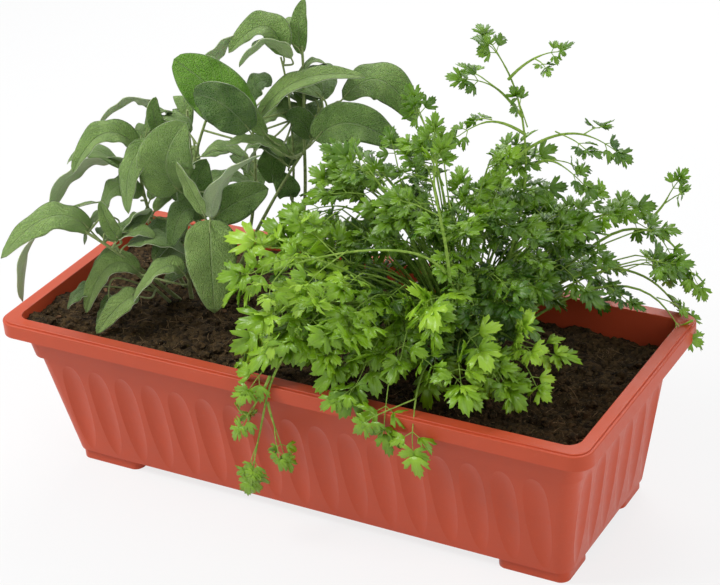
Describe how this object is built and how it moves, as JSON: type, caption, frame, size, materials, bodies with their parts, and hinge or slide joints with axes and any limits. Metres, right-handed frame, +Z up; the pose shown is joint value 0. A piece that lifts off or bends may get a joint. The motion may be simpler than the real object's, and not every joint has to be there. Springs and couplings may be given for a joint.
{
  "type": "self watering trough planter",
  "caption": "Rectangular self-watering window-box planter with fluted walls and a rolled rim, holding a wicking reservoir, filler tube, level gauge, compost, sage and parsley.",
  "frame": {"origin": "centre of the trough's footprint, on the plane that its feet stand on", "axes": "+X along the trough's length, +Y towards its back long wall, where the overflow spout is, +Z up"},
  "size_m": [0.6, 0.25, 0.43],
  "materials": {
    "trough_plastic": "satin",
    "insert_plastic": "matte",
    "tube_plastic": "satin",
    "clear_plastic": "gloss",
    "float_foam": "matte",
    "rod_plastic": "satin",
    "flag_plastic": "gloss",
    "felt": "matte",
    "seal_rubber": "matte",
    "pin_steel": "satin",
    "compost": "matte",
    "sage_stem": "matte",
    "parsley_stem": "satin",
    "sage_leaf": "matte",
    "parsley_leaf": "satin"
  },
  "bodies": {
    "planter": {"trough": "trough_plastic", "reservoir_platform": "insert_plastic", "wicking_basket_left": "insert_plastic", "wicking_basket_right": "insert_plastic", "capillary_mat": "felt", "wick_strip_1": "felt", "wick_strip_2": "felt", "wick_strip_3": "felt", "wick_strip_4": "felt", "filler_tube": "tube_plastic", "filler_strainer": "insert_plastic", "cap_hinge_pin": "pin_steel", "gauge_tube": "clear_plastic", "gauge_guide": "insert_plastic", "gauge_window": "clear_plastic", "overflow_spout": "tube_plastic", "compost": "compost", "sage_stems": "sage_stem", "parsley_stems": "parsley_stem", "sage_foliage": "sage_leaf", "parsley_foliage": "parsley_leaf"},
    "filler_cap": {"filler_cap": "tube_plastic"},
    "gauge": {"gauge_float": "float_foam", "gauge_rod": "rod_plastic", "gauge_flag": "flag_plastic"},
    "drain_plug": {"drain_plug": "tube_plastic", "drain_seal": "seal_rubber"}
  },
  "joints": [
    {"name": "filler_cap_hinge", "type": "hinge", "parent": "planter", "child": "filler_cap", "pos_m": [-0.01, 0.0794, 0.1713], "axis": [-1, 0, 0], "range_deg": [0, 110]},
    {"name": "gauge_rise", "type": "slide", "parent": "planter", "child": "gauge", "axis": [0, 0, 1], "range_m": [0, 0.028]},
    {"name": "drain_plug_pull", "type": "slide", "parent": "planter", "child": "drain_plug", "axis": [-0.9889, 0, -0.1483], "range_m": [0, 0.014]}
  ]
}
